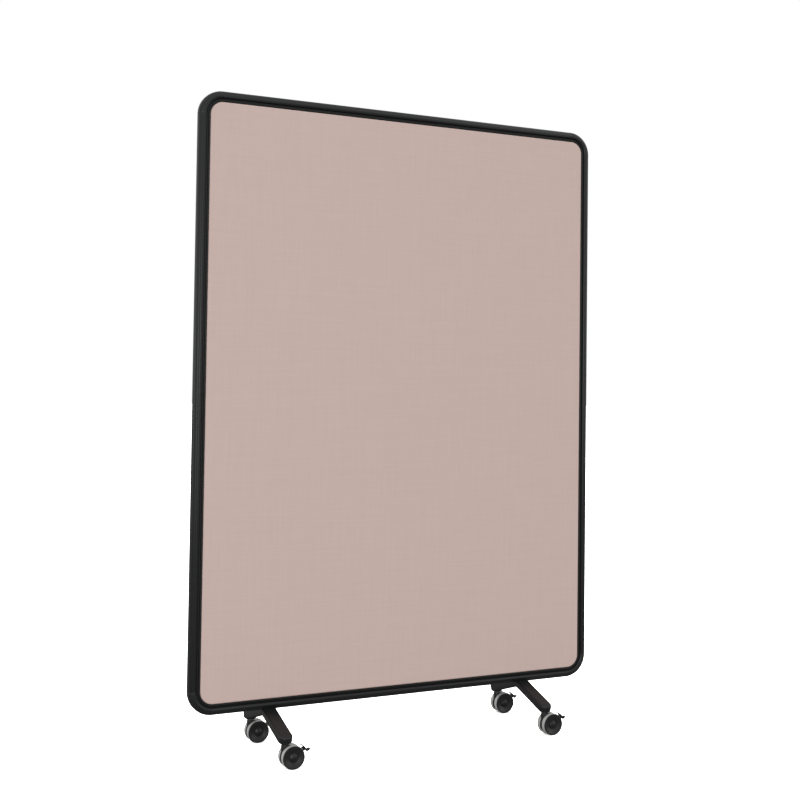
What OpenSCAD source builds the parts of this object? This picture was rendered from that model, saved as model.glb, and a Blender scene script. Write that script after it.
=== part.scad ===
// Rolling partition: a fabric-covered panel in a rounded edge frame, on two feet with four twin-wheel
// casters. Millimetres. The origin is on the floor under the middle of the screen, +X runs to the right
// as seen from the front, -Y is the front and +Z is up.

/* [Screen] */
// Width over the edge frame
screen_w = 1200; // [900:10:1600]
// Height of the edge frame, outside to outside
frame_h = 1615; // [1000:5:1900]
// Floor to the underside of the edge frame
ground_gap = 121; // [118:1:150]
// Outer radius of the frame's corners
corner_r = 64; // [50:1:120]

/* [Edge profile] */
// Thickness over the beads, front to back
frame_t = 36; // [35:0.5:44]
// Radius of the rounded outer shoulders
shoulder_r = 12; // [11:0.25:13]
// How far the shoulders stand below the bead crests
shoulder_drop = 2; // [1:0.25:3]
// Radius of the beads
bead_r = 6.5; // [5.5:0.25:7]
// Outer edge to the crest of the beads
bead_in = 14; // [13:0.25:16]
// Wall between the outer face and the hollow
profile_wall = 2.2; // [1.6:0.1:3]
// Inward depth of the hollow
hollow_w = 8.2; // [7:0.1:9]
// Front to back width of the hollow
hollow_t = 14; // [11:0.5:15]
// Wall between the hollow and the panel channel
channel_wall = 2.1; // [1.5:0.1:3]

/* [Corner keys] */
// Reach of each key into its straight length
key_reach = 45; // [35:1:80]
// Radius of the grub screws
grub_r = 2; // [1.5:0.25:2.5]
// Joint to the grub screw's axis
grub_in = 25; // [12:1:30]
// Depth of the grub screws in the key
grub_bite = 5; // [3:0.5:6]

/* [Panel] */
// Thickness of the core board
core_t = 18; // [14:0.5:19]
// Thickness of each foam sheet
foam_t = 6.75; // [5:0.25:8]
// Thickness of the fabric
fabric_t = 0.8; // [0.5:0.1:1.5]
// Width of the shadow groove between profile and lip
groove_w = 3.6; // [2.5:0.1:6]
// Width of the trim's rounded lip
lip_w = 5.4; // [4:0.1:8]
// Thickness of the trim's base in the shadow groove
trim_base_t = 3.4; // [2:0.1:3.8]

/* [Feet] */
// Middle of the left foot to the middle of the right foot
foot_spacing = 768; // [500:4:1000]
// Mid-plane of the screen to each caster's stem
foot_reach = 136; // [120:1:260]
// Width of the arms and of their round ends
arm_w = 37.5; // [34:0.5:44]
// Thickness of the arms
arm_t = 23; // [16:0.5:24]
// Rounding along the arms' edges
arm_edge_r = 7; // [4:0.5:7]
// Height of the arms' centre line at the mid-plane above the frame's underside
arm_rise = -1.5; // [-3:0.1:3]
// Height of the arms' centre line at the stem above the boss's underside
arm_end_rise = 14; // [11:0.5:18]
// How far the boss under each end stands in from the end's side
boss_inset = 2; // [1:0.25:3]
// Rounding of the boss's lower edge
boss_fillet = 8; // [3:0.5:9]
// Radius of the foot screws
foot_screw_r = 3; // [2.5:0.25:3.5]
// Middle of the foot to each foot screw
foot_screw_in = 9; // [7:0.5:10]
// Radius of the foot screws' heads
foot_head_r = 5; // [4.5:0.25:5.5]
// Height of the foot screws' heads
foot_head_h = 6; // [4:0.5:7]
// Thickness of the foot left over the screw heads
foot_web = 4; // [3:0.5:5]
// Length of the backing plate in the bottom rail
plate_len = 90; // [50:5:160]

/* [Casters] */
// Diameter over the treads
wheel_d = 60; // [52:1:64]
// Stem axis to axle
trail = 18; // [17:0.5:20]
// Width of one wheel
wheel_w = 15.2; // [14:0.1:22]
// Thickness of the hood's web between the wheels
web_t = 8; // [7.5:0.25:10]
// Height of the hood's neck above the wheels
neck_over = 1.4; // [1.2:0.1:8]
// Radius of the hood's neck
neck_r = 9; // [8.5:0.25:9.5]
// How far the hood's rim stands out past the treads
hood_lip = 0; // [0:0.25:2]
// How far the rest of the hood's web stands in from the treads
web_inset = 3; // [2:0.25:5]
// Radius of the stem's thread
stem_r = 5; // [4:0.25:6]
// Length of thread in the boss
stem_len = 14; // [10:0.5:15]
// Thickness of the stem's collar
collar_t = 1.5; // [1.25:0.25:4]
// Radius of the swivel journal
journal_r = 5; // [4:0.25:6]
// Radius of the journal's slim tail
tail_r = 2.9; // [2:0.1:3]
// Radius of the axle
axle_r = 4; // [3:0.25:5]
// How far the tread stands in from the hub's inner face
tread_in = 1.2; // [0.3:0.1:2.5]
// Thickness of the tread at its crown
tread_t = 3.8; // [3:0.1:5]
// Width of the hub's outer flange
flange_w = 1.6; // [1.2:0.1:3]
// How far the tread stands out past the flange
flange_inset = 0.7; // [0.5:0.1:2]
// Depth of the dish in the hub's face
dish_d = 4; // [2:0.25:5]
// Radius of the boss in the middle of the hub's face
hub_boss_r = 9.5; // [8:0.25:11]
// Width of the rim round the dish
rim_w = 3.5; // [2.5:0.25:5]
// Thickness of the hub's moulded walls
hub_wall = 3; // [2:0.25:3.5]
// Rounding of the tread's edges
tread_edge_r = 1.5; // [0.5:0.25:1.8]

/* [Brake pedals] */
// Gap between the treads and the near end of the pedal's plate
pedal_gap = 5.1; // [4.8:0.1:8]
// How much further out the plate's far end is
pedal_spread = 5; // [2:0.25:7]
// Thickness of the pedal's plate and toe
pedal_t = 2.6; // [1.8:0.1:3]
// Width of the pedal's plate
pedal_w = 16; // [12:1:34]
// Width of the pedal's toe
toe_w = 14; // [8:1:16]
// Length of the toe
toe_len = 9.5; // [6:0.5:14]
// Thickness of the pedal's blade
blade_t = 2.4; // [2:0.1:3]
// Radius of the pedal's trunnions
trunnion_r = 2; // [1.5:0.1:2.4]

/* [Clearances] */
// Gap of pieces that seat in or against each other
seat_gap = 0.05; // [0.02:0.01:0.15]
// Gap of the keys, the plate and the panel's edge in the profile
slide_gap = 0.1; // [0.05:0.01:0.2]
// Gap between the core board's edge and the floor of the channel
edge_gap = 0.5; // [0.3:0.1:1]
// Radial gap of screws in their clearance holes
hole_gap = 0.3; // [0.2:0.05:0.5]
// Radial gap of journals, axles and trunnions
run_gap = 0.05; // [0.03:0.01:0.09]
// Gap beside each wheel and over the hood's neck
side_gap = 0.3; // [0.2:0.05:0.6]
// Gap between the treads and the hood's neck
tread_gap = 1.5; // [1:0.1:2]

/* [Hidden] */
$fn = 72;

// Each caster: name, side of the screen along X, side along Y
CASTERS = [["front_left", -1, -1], ["front_right", 1, -1], ["rear_left", -1, 1], ["rear_right", 1, 1]];

FRAME_BLACK = "#26272a";
TRIM_BLACK = "#1f2022";
FABRIC = "#c0afa7";
FOAM = "#d9d4c8";
BOARD = "#b79a72";
STEEL = "#9a9c9f";
HUB_BLACK = "#2b2c2e";
TREAD_GREY = "#a9abad";

// Places in the profile, measured inwards from its outer edge or out from the mid-plane
shoulder_v = frame_t / 2 - shoulder_drop - shoulder_r;
bead_v = frame_t / 2 - bead_r;
profile_w = bead_in + bead_r;
hollow_end = profile_wall + hollow_w;
channel_floor = hollow_end + channel_wall;
channel_half = core_t / 2 + slide_gap;

// Places in the panel
core_edge = channel_floor + edge_gap;
trim_edge = profile_w + slide_gap;
lip_end = profile_w + groove_w + lip_w;
fabric_edge = lip_end + slide_gap;
foam_edge = fabric_edge + fabric_t;
pad_v = core_t / 2 + seat_gap;
foam_v = pad_v + foam_t;
face_v = foam_v + fabric_t;

// Heights
frame_mid_z = ground_gap + frame_h / 2;
axle_z = wheel_d / 2;
neck_top_z = wheel_d + neck_over;
collar_z = neck_top_z + side_gap;
boss_z = collar_z + collar_t;

// Arms
arm_mid_z = ground_gap + arm_rise;
arm_end_z = boss_z + arm_end_rise;
arm_slope = atan((arm_mid_z - arm_end_z) / foot_reach);
arm_len = foot_reach / cos(arm_slope);
boss_r = arm_w / 2 - boss_inset;
head_seat_z = ground_gap - foot_web;

// Casters, from the stem's axis and the floor
tread_env_r = wheel_d / 2 + tread_gap;
hood_r = wheel_d / 2 + hood_lip;
web_r = wheel_d / 2 - web_inset;
journal_floor_z = axle_z + sqrt(pow(tread_env_r, 2) - pow(trail - journal_r - run_gap, 2));
tail_floor_z = axle_z + wheel_d / 4;
neck_web_end = trail - sqrt(pow(tread_env_r, 2) - pow(web_r, 2));
wheel_in = web_t / 2 + side_gap;
drum_r = wheel_d / 2 - tread_t;
flange_r = wheel_d / 2 - flange_inset;
axle_end = wheel_in + wheel_w - dish_d - flange_w;

// Where the hood's rim starts and ends, as angles about the axle
hood_from = 110;
hood_to = 209;

// Brake pedal, as angles about the axle
pedal_from = 14;
pedal_to = 47;
toe_tilt = 30;
pivot_at = 100;
// The trunnions' depth inside the treads, and the rounding of the ears and of the blade round them
pivot_in = 6;
ear_r = 4.5;
blade_end_r = 3.5;
// The blade runs between these radii from the trunnions to the plate, and the hood is slotted to clear it
blade_out = 26;
blade_in = 18;
slot_in = 11;
slot_deep = 7;
pedal_r = wheel_d / 2 + pedal_gap;
function plate_r(a) = pedal_r + pedal_t / 2 + pedal_spread * (pedal_to - a) / (pedal_to - pedal_from);
pivot_x = (wheel_d / 2 - pivot_in) * cos(pivot_at);
pivot_z = (wheel_d / 2 - pivot_in) * sin(pivot_at);

// ---- Edge profile ----

// Outline of the profile: x runs inwards from the outer edge, y from the mid-plane
module profile_outline(grow = 0) {
    for (side = [-1, 1]) {
        intersection() {
            translate([shoulder_r, side * shoulder_v]) circle(r = shoulder_r + grow);
            translate([-grow, -frame_t / 2]) square([bead_in + grow, frame_t]);
        }
        translate([bead_in, side * bead_v]) circle(r = bead_r + grow);
    }
    translate([-grow, -shoulder_v]) square([shoulder_r, 2 * shoulder_v]);
    translate([shoulder_r, -bead_v]) square([profile_w - shoulder_r, 2 * bead_v]);
}

module profile_section() {
    difference() {
        profile_outline();
        translate([profile_wall, -hollow_t / 2]) square([hollow_w, hollow_t]);
        translate([channel_floor, -channel_half]) square([profile_w, 2 * channel_half]);
    }
}

// Child section swept up a stile, centred on the middle of the frame
module along_stile(side) {
    translate([0, 0, frame_mid_z])
        mirror([side > 0 ? 1 : 0, 0, 0])
            translate([-screen_w / 2, 0, 0])
                linear_extrude(frame_h - 2 * corner_r, center = true) children();
}

// Child section swept along a rail, centred on the middle of the frame
module along_rail(side) {
    translate([0, 0, frame_mid_z])
        mirror([0, 0, side > 0 ? 1 : 0])
            translate([0, 0, -frame_h / 2])
                rotate([0, -90, 0]) linear_extrude(screen_w - 2 * corner_r, center = true) children();
}

// Origin at a corner's centre of curvature, with the corner towards -X and -Z
module at_corner(side_x, side_z) {
    translate([0, 0, frame_mid_z])
        mirror([side_x > 0 ? 1 : 0, 0, 0])
            mirror([0, 0, side_z > 0 ? 1 : 0])
                translate([corner_r - screen_w / 2, 0, corner_r - frame_h / 2]) children();
}

// Child section swept round a corner
module round_corner(side_x, side_z) {
    at_corner(side_x, side_z)
        rotate([-90, 0, 0]) rotate([0, 0, 90])
            rotate_extrude(angle = 90) translate([corner_r, 0]) mirror([1, 0]) children();
}

// The two grub screws of one corner, from the corner's centre of curvature
module grub_pair(r, from, to) {
    translate([from - corner_r, 0, grub_in]) rotate([0, 90, 0]) cylinder(r = r, h = to - from);
    translate([grub_in, 0, from - corner_r]) cylinder(r = r, h = to - from);
}

module grub_holes() {
    for (side_x = [-1, 1], side_z = [-1, 1])
        at_corner(side_x, side_z)
            grub_pair(grub_r + seat_gap, hollow_end - grub_bite - slide_gap, channel_floor + 1);
}

module stile(side) {
    color(FRAME_BLACK) difference() {
        along_stile(side) profile_section();
        grub_holes();
    }
}

module top_rail() {
    color(FRAME_BLACK) difference() {
        along_rail(1) profile_section();
        grub_holes();
    }
}

module bottom_rail() {
    color(FRAME_BLACK) difference() {
        along_rail(-1) profile_section();
        grub_holes();
        for (side = [-1, 1])
            foot_screw_bores(side, foot_screw_r + hole_gap, ground_gap - 1, ground_gap + profile_wall + 1);
    }
}

module frame_corner(side_x, side_z) {
    color(FRAME_BLACK) round_corner(side_x, side_z) profile_section();
}

module key_section() {
    translate([profile_wall + slide_gap, slide_gap - hollow_t / 2])
        square([hollow_w - 2 * slide_gap, hollow_t - 2 * slide_gap]);
}

module corner_key() {
    rotate([-90, 0, 0]) rotate([0, 0, 90])
        rotate_extrude(angle = 90) translate([corner_r, 0]) mirror([1, 0]) key_section();
    translate([-corner_r, 0, 0]) linear_extrude(key_reach) key_section();
    translate([key_reach, 0, -corner_r]) rotate([0, -90, 0]) linear_extrude(key_reach) key_section();
}

module corner_keys() {
    color(STEEL) difference() {
        for (side_x = [-1, 1], side_z = [-1, 1]) at_corner(side_x, side_z) corner_key();
        grub_holes();
    }
}

module grub_screws() {
    color(STEEL)
        for (side_x = [-1, 1], side_z = [-1, 1])
            at_corner(side_x, side_z) grub_pair(grub_r, hollow_end - grub_bite, channel_floor);
}

// ---- Panel ----

// Upright slab inset from the frame's outer edge, from depth v0 to v1 behind the mid-plane
module slab(inset, v0, v1) {
    r = corner_r - inset;
    w = screen_w - 2 * inset;
    h = frame_h - 2 * inset;
    translate([0, v1, frame_mid_z]) rotate([90, 0, 0]) linear_extrude(v1 - v0) union() {
        square([w - 2 * r, h], center = true);
        square([w, h - 2 * r], center = true);
        for (x = [-1, 1], z = [-1, 1]) translate([x * (w / 2 - r), z * (h / 2 - r)]) circle(r = r);
    }
}

// The rear side's children on the side asked for: -1 is the front, 1 is the rear
module on_side(side) {
    mirror([0, side < 0 ? 1 : 0, 0]) children();
}

module core_board() {
    color(BOARD) slab(core_edge, -core_t / 2, core_t / 2);
}

module foam_sheet(side) {
    color(FOAM) on_side(side) slab(foam_edge, pad_v, foam_v);
}

module fabric_cover(side) {
    color(FABRIC) on_side(side) difference() {
        slab(fabric_edge, pad_v, face_v);
        slab(foam_edge, pad_v - 1, foam_v);
    }
}

// Section of the rear trim: a base in the shadow groove and a lip with a rounded crest
module trim_section() {
    lip_r = lip_w / 2;
    translate([trim_edge, pad_v]) square([lip_end - trim_edge, trim_base_t]);
    translate([lip_end - lip_w, pad_v]) square([lip_w, face_v - lip_r - pad_v]);
    translate([lip_end - lip_r, face_v - lip_r]) circle(r = lip_r);
}

module trim(side) {
    color(TRIM_BLACK) on_side(side) union() {
        for (end = [-1, 1]) {
            along_stile(end) trim_section();
            along_rail(end) trim_section();
        }
        for (side_x = [-1, 1], side_z = [-1, 1]) round_corner(side_x, side_z) trim_section();
    }
}

// ---- Feet ----

module foot_screw_bores(side, r, from, to) {
    for (x = [-1, 1])
        translate([side * foot_spacing / 2 + x * foot_screw_in, 0, from]) cylinder(r = r, h = to - from);
}

// Rounded section of an arm, centred
module arm_section() {
    square([arm_w, arm_t - 2 * arm_edge_r], center = true);
    square([arm_w - 2 * arm_edge_r, arm_t], center = true);
    for (x = [-1, 1], y = [-1, 1])
        translate([x * (arm_w / 2 - arm_edge_r), y * (arm_t / 2 - arm_edge_r)]) circle(r = arm_edge_r);
}

// Half of that section, turned about the middle of an arm's round end
module arm_end_section() {
    translate([0, arm_edge_r - arm_t / 2]) square([arm_w / 2, arm_t - 2 * arm_edge_r]);
    translate([0, -arm_t / 2]) square([arm_w / 2 - arm_edge_r, arm_t]);
    for (y = [-1, 1])
        translate([arm_w / 2 - arm_edge_r, y * (arm_t / 2 - arm_edge_r)]) circle(r = arm_edge_r);
}

// Half section of the boss under an arm's end
module boss_section() {
    square([boss_r - boss_fillet, arm_end_rise]);
    translate([0, boss_fillet]) square([boss_r, arm_end_rise - boss_fillet]);
    intersection() {
        translate([boss_r - boss_fillet, boss_fillet]) circle(r = boss_fillet);
        square([boss_r, boss_fillet]);
    }
}

// The rear arm of a foot
module arm() {
    intersection() {
        translate([0, 0, arm_mid_z]) rotate([-arm_slope, 0, 0]) union() {
            translate([0, -arm_t, 0]) rotate([-90, 0, 0]) linear_extrude(arm_len + arm_t) arm_section();
            translate([0, arm_len, 0]) rotate_extrude(angle = 180) arm_end_section();
        }
        translate([-arm_w, 0, boss_z]) cube([2 * arm_w, foot_reach + arm_w, ground_gap]);
    }
    translate([0, foot_reach, boss_z]) rotate_extrude() boss_section();
}

module foot(side) {
    color(FRAME_BLACK) difference() {
        translate([side * foot_spacing / 2, 0, 0]) union() {
            arm();
            mirror([0, 1, 0]) arm();
        }
        translate([side * foot_spacing / 2, 0, ground_gap])
            rotate([0, -90, 0]) linear_extrude(2 * arm_w, center = true) profile_outline(seat_gap);
        foot_screw_bores(side, foot_screw_r + hole_gap, boss_z, ground_gap + arm_t);
        foot_screw_bores(side, foot_head_r + hole_gap, boss_z, head_seat_z);
        for (y = [-1, 1])
            translate([side * foot_spacing / 2, y * foot_reach, boss_z - 1])
                cylinder(r = stem_r + seat_gap, h = stem_len + 2);
    }
}

module backing_plate(side) {
    plate_t = hollow_w - 2 * slide_gap;
    plate_z = ground_gap + profile_wall + slide_gap;
    color(STEEL) difference() {
        translate([side * foot_spacing / 2 - plate_len / 2, slide_gap - hollow_t / 2, plate_z])
            cube([plate_len, hollow_t - 2 * slide_gap, plate_t]);
        foot_screw_bores(side, foot_screw_r + seat_gap, plate_z - 1, plate_z + plate_t + 1);
    }
}

module foot_screws(side) {
    socket_r = foot_screw_r * 0.9;
    color(STEEL) difference() {
        union() {
            foot_screw_bores(side, foot_screw_r, head_seat_z - 1, ground_gap + profile_wall + hollow_w - 1);
            foot_screw_bores(side, foot_head_r, head_seat_z - foot_head_h, head_seat_z - seat_gap);
        }
        for (x = [-1, 1])
            translate([side * foot_spacing / 2 + x * foot_screw_in, 0, head_seat_z - foot_head_h - 1])
                cylinder(r = socket_r, h = foot_head_h / 2 + 1, $fn = 6);
    }
}

// ---- Casters, each with its stem's axis at the origin and its wheels towards +X ----

module stem() {
    color(STEEL) union() {
        translate([0, 0, tail_floor_z]) cylinder(r = tail_r, h = boss_z - tail_floor_z);
        translate([0, 0, journal_floor_z + 2 * side_gap])
            cylinder(r = journal_r, h = boss_z - journal_floor_z - 2 * side_gap);
        translate([0, 0, collar_z]) cylinder(r = neck_r - 1, h = collar_t - seat_gap, $fn = 6);
        translate([0, 0, boss_z - 1]) cylinder(r = stem_r, h = stem_len + 1);
    }
}

// Outline of the web in the plane of the wheels, with the axle at the origin
module web_outline() {
    circle(r = web_r);
    intersection() {
        circle(r = hood_r);
        polygon(concat([[0, 0]], [for (i = [0:3]) let (a = hood_from + i * (hood_to - hood_from) / 3)
            [2 * hood_r * cos(a), 2 * hood_r * sin(a)]]));
    }
    translate([pivot_x, pivot_z]) circle(r = ear_r);
}

module hood() {
    slot_t = blade_t + 2 * side_gap;
    color(HUB_BLACK) difference() {
        union() {
            translate([trail, 0, axle_z]) rotate([90, 0, 0])
                linear_extrude(web_t, center = true) web_outline();
            difference() {
                translate([0, 0, axle_z]) cylinder(r = neck_r, h = neck_top_z - axle_z);
                translate([trail, 0, axle_z]) rotate([90, 0, 0])
                    cylinder(r = tread_env_r, h = 2 * neck_r + 2, center = true);
            }
            translate([-neck_r, -web_t / 2, axle_z])
                cube([neck_r + neck_web_end, web_t, neck_top_z - axle_z - 1]);
        }
        translate([0, 0, journal_floor_z]) cylinder(r = journal_r + run_gap, h = neck_top_z);
        translate([0, 0, tail_floor_z - side_gap]) cylinder(r = tail_r + run_gap, h = neck_top_z);
        translate([trail, 0, axle_z]) rotate([90, 0, 0])
            cylinder(r = axle_r + seat_gap / 2, h = web_t + 2, center = true);
        translate([trail + pivot_x, 0, axle_z + pivot_z]) rotate([90, 0, 0])
            cylinder(r = trunnion_r + run_gap, h = web_t + 2, center = true);
        translate([trail + pivot_x - ear_r - side_gap, -slot_t / 2, axle_z + pivot_z - slot_deep])
            cube([wheel_d, slot_t, wheel_d]);
        translate([trail, 0, axle_z]) pedal_arc(slot_in, wheel_d, slot_t, -20, 92);
    }
}

module axle() {
    color(STEEL) translate([trail, 0, axle_z]) rotate([90, 0, 0])
        cylinder(r = axle_r, h = 2 * axle_end, center = true);
}

// Places a wheel on its side of the hood, its inner face at z = 0 and its outer face away from the hood
module wheel_side(side) {
    translate([trail, side * wheel_in, axle_z]) rotate([side > 0 ? -90 : 90, 0, 0]) children();
}

// Half section of a wheel's hub: drum, dished wall with its flange, and the tube round the axle
module core_section() {
    boss_taper = 1.5;
    dish_wall = 2;
    dish_z = wheel_w - dish_d;
    bore_r = axle_r + run_gap;
    bore_end = axle_end - wheel_in + side_gap;
    tube_r = bore_r + hub_wall;
    difference() {
        union() {
            square([drum_r, wheel_w - flange_w]);
            translate([0, wheel_w - flange_w]) square([flange_r, flange_w]);
        }
        translate([tube_r, -1]) square([drum_r - hub_wall - tube_r, dish_z - dish_wall + 1]);
        polygon([[hub_boss_r, dish_z], [hub_boss_r + boss_taper, dish_z], [flange_r - rim_w, wheel_w],
            [flange_r - rim_w, wheel_w + 1], [hub_boss_r, wheel_w + 1]]);
        translate([-1, -1]) square([bore_r + 1, bore_end + 1]);
    }
}

module wheel_core(side) {
    color(HUB_BLACK) wheel_side(side) rotate_extrude() core_section();
}

module wheel_tread(side) {
    from = tread_in;
    to = wheel_w - flange_w - seat_gap;
    inner = drum_r + seat_gap;
    edge_at = wheel_d / 2 - tread_edge_r;
    color(TREAD_GREY) wheel_side(side) rotate_extrude() union() {
        translate([inner, from]) square([edge_at - inner, to - from]);
        translate([inner, from + tread_edge_r])
            square([wheel_d / 2 - inner, to - from - 2 * tread_edge_r]);
        for (y = [from + tread_edge_r, to - tread_edge_r]) translate([edge_at, y]) circle(r = tread_edge_r);
    }
}

// Sweep of a rectangle about the axle, between two angles
module pedal_arc(r0, r1, width, from, to) {
    rotate([90, 0, 0]) rotate([0, 0, from]) rotate_extrude(angle = to - from)
        translate([r0, -width / 2]) square([r1 - r0, width]);
}

// Point at a distance from the axle, at an angle
function polar(r, a) = [r * cos(a), r * sin(a)];

module pedal() {
    end = polar(plate_r(pedal_from), pedal_from);
    color(HUB_BLACK) translate([trail, 0, axle_z]) union() {
        rotate([90, 0, 0]) linear_extrude(pedal_w, center = true)
            polygon(concat([for (a = [pedal_from:3:pedal_to]) polar(plate_r(a) + pedal_t / 2, a)],
                [for (a = [pedal_to:-3:pedal_from]) polar(plate_r(a) - pedal_t / 2, a)]));
        translate([end[0], 0, end[1]]) rotate([0, -toe_tilt, 0])
            translate([-pedal_t / 2, -toe_w / 2, -pedal_t / 2]) cube([toe_len + pedal_t / 2, toe_w, pedal_t]);
        rotate([90, 0, 0]) linear_extrude(blade_t, center = true) union() {
            translate([pivot_x, pivot_z]) circle(r = blade_end_r);
            polygon(concat([[pivot_x, pivot_z - blade_end_r], [pivot_x, pivot_z + blade_end_r]],
                [for (a = [88:-16:40]) polar(blade_out, a)], [for (a = [34:-8:18]) polar(plate_r(a), a)],
                [for (a = [12:18:84]) polar(blade_in, a)]));
        }
        translate([pivot_x, 0, pivot_z]) rotate([90, 0, 0])
            cylinder(r = trunnion_r, h = web_t - side_gap, center = true);
    }
}

module at_caster(caster) {
    translate([caster[1] * foot_spacing / 2, caster[2] * foot_reach, 0]) children();
}

// ---- Nodes ----

stile(-1);  // left_stile
stile(1);  // right_stile
top_rail();
bottom_rail();
frame_corner(-1, 1);  // top_left_corner
frame_corner(1, 1);  // top_right_corner
frame_corner(-1, -1);  // bottom_left_corner
frame_corner(1, -1);  // bottom_right_corner
corner_keys();
grub_screws();
core_board();
foam_sheet(-1);  // front_foam
foam_sheet(1);  // rear_foam
fabric_cover(-1);  // front_fabric
fabric_cover(1);  // rear_fabric
trim(-1);  // front_trim
trim(1);  // rear_trim
foot(-1);  // left_foot
foot(1);  // right_foot
backing_plate(-1);  // left_backing_plate
backing_plate(1);  // right_backing_plate
foot_screws(-1);  // left_foot_screws
foot_screws(1);  // right_foot_screws
for (caster = CASTERS) {
    name = caster[0];
    at_caster(caster) stem();
    at_caster(caster) hood();
    at_caster(caster) axle();
    at_caster(caster) pedal();
    at_caster(caster) wheel_core(-1);
    at_caster(caster) wheel_tread(-1);
    at_caster(caster) wheel_core(1);
    at_caster(caster) wheel_tread(1);
}
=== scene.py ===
"""The looks of a rolling partition: a fabric-covered screen in a black edge frame, on two feet with casters.

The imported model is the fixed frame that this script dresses. Everything is in metres, in the frame's own
axes: +X to the right as seen from the front, -Y to the front and +Z up, with the origin on the floor under
the middle of the screen. Sizes that the frame holds are read from it, and the rest are fields of the class
that they belong to.
"""

import logging
import math
from collections.abc import Iterable, Sequence
from dataclasses import dataclass
from enum import Enum

import bmesh
import bpy
from mathutils import Matrix, Vector

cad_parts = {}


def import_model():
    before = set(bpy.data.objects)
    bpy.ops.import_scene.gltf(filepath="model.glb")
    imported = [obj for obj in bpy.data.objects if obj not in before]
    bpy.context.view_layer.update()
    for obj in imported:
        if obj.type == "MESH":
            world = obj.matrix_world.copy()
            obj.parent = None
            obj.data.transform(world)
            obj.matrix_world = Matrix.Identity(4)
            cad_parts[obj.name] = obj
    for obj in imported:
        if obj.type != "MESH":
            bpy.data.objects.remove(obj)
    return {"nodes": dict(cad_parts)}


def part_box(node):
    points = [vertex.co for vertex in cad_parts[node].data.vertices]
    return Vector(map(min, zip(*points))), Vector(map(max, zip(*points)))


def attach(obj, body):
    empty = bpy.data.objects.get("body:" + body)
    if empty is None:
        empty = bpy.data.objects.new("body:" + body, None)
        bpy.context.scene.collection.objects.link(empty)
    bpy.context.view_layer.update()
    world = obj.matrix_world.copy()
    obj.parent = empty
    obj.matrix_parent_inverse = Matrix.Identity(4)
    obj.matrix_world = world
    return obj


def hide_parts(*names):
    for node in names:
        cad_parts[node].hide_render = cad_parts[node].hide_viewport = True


LOG = logging.getLogger("partition")
MM = 0.001
# Vertices of one mesh that lie nearer to each other than this are one vertex
MERGED = 0.002 * MM
Point = tuple[float, float]


class Side(Enum):
    """The two faces of the screen, with the sign of Y to which each one looks."""

    FRONT = -1
    REAR = 1

    @property
    def label(self) -> str:
        """The start of the names of this side's nodes."""
        return self.name.lower()


class Place(Enum):
    """The four casters, by the start of the names of their nodes and bodies."""

    FRONT_LEFT = "front_left"
    FRONT_RIGHT = "front_right"
    REAR_LEFT = "rear_left"
    REAR_RIGHT = "rear_right"


# ---- Shader helpers ----


def linear(colour: str) -> tuple[float, float, float, float]:
    """Turns an sRGB hex colour into the linear values that Blender's sockets take.

    Args:
        colour: six hex digits after a hash sign.

    Returns:
        Red, green and blue, linear, and an alpha of 1.
    """
    channels = [int(colour[i : i + 2], 16) / 255 for i in (1, 3, 5)]
    red, green, blue = (c / 12.92 if c <= 0.04045 else ((c + 0.055) / 1.055) ** 2.4 for c in channels)
    return red, green, blue, 1.0


def add_node(tree: bpy.types.NodeTree, kind: str, inputs: dict | None = None, **settings) -> bpy.types.Node:
    """Adds a node to a tree, sets its properties and fills its inputs.

    Args:
        tree: the tree that gets the node.
        kind: the node's type name.
        inputs: for an input's name or number, the socket that feeds it or the value that it takes.
        **settings: the node's own properties.

    Returns:
        The new node.
    """
    node = tree.nodes.new(kind)
    for key, value in settings.items():
        setattr(node, key, value)
    for key, value in (inputs or {}).items():
        if isinstance(value, bpy.types.NodeSocket):
            tree.links.new(value, node.inputs[key])
        else:
            node.inputs[key].default_value = value
    return node


# ---- Finishes ----


@dataclass(frozen=True)
class Finish:
    """A surface as its maker orders it, with the shader values that all of them share."""

    name: str
    colour: str
    roughness: float
    ior: float = 1.5
    metallic: float = 0.0
    specular: float = 0.5

    def material(self) -> bpy.types.Material:
        """Builds the material once and returns the same one afterwards.

        Returns:
            The finish as a Blender material.
        """
        made = bpy.data.materials.get(self.name)
        if made:
            return made
        made = bpy.data.materials.new(self.name)
        made.use_nodes = True
        tree = made.node_tree
        shader = tree.nodes["Principled BSDF"]
        shader.inputs["Base Color"].default_value = linear(self.colour)
        shader.inputs["Roughness"].default_value = self.roughness
        shader.inputs["Metallic"].default_value = self.metallic
        if not self.metallic:
            shader.inputs["IOR"].default_value = self.ior
            shader.inputs["Specular IOR Level"].default_value = self.specular
        place = add_node(tree, "ShaderNodeTexCoord").outputs["Object"]
        self.texture(tree, shader, place)
        made.diffuse_color = linear(self.colour)
        return made

    def texture(self, tree: bpy.types.NodeTree, shader: bpy.types.Node, place: bpy.types.NodeSocket) -> None:
        """Adds what the making leaves on the surface. The plain finish has nothing.

        Args:
            tree: the material's tree.
            shader: its Principled shader.
            place: Object coordinates, in metres.
        """


def noise(
    tree: bpy.types.NodeTree, place: bpy.types.NodeSocket, size: float, detail: float = 2.0
) -> bpy.types.NodeSocket:
    """Adds a noise whose lumps are about one size.

    Args:
        tree: the material's tree.
        place: the coordinates that it reads.
        size: the lumps' size in metres.
        detail: octaves of finer noise.

    Returns:
        The noise's socket, from 0 to 1.
    """
    lumps = {"Vector": place, "Scale": 1 / size, "Detail": detail}
    return add_node(tree, "ShaderNodeTexNoise", lumps, normalize=True).outputs["Fac"]


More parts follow.
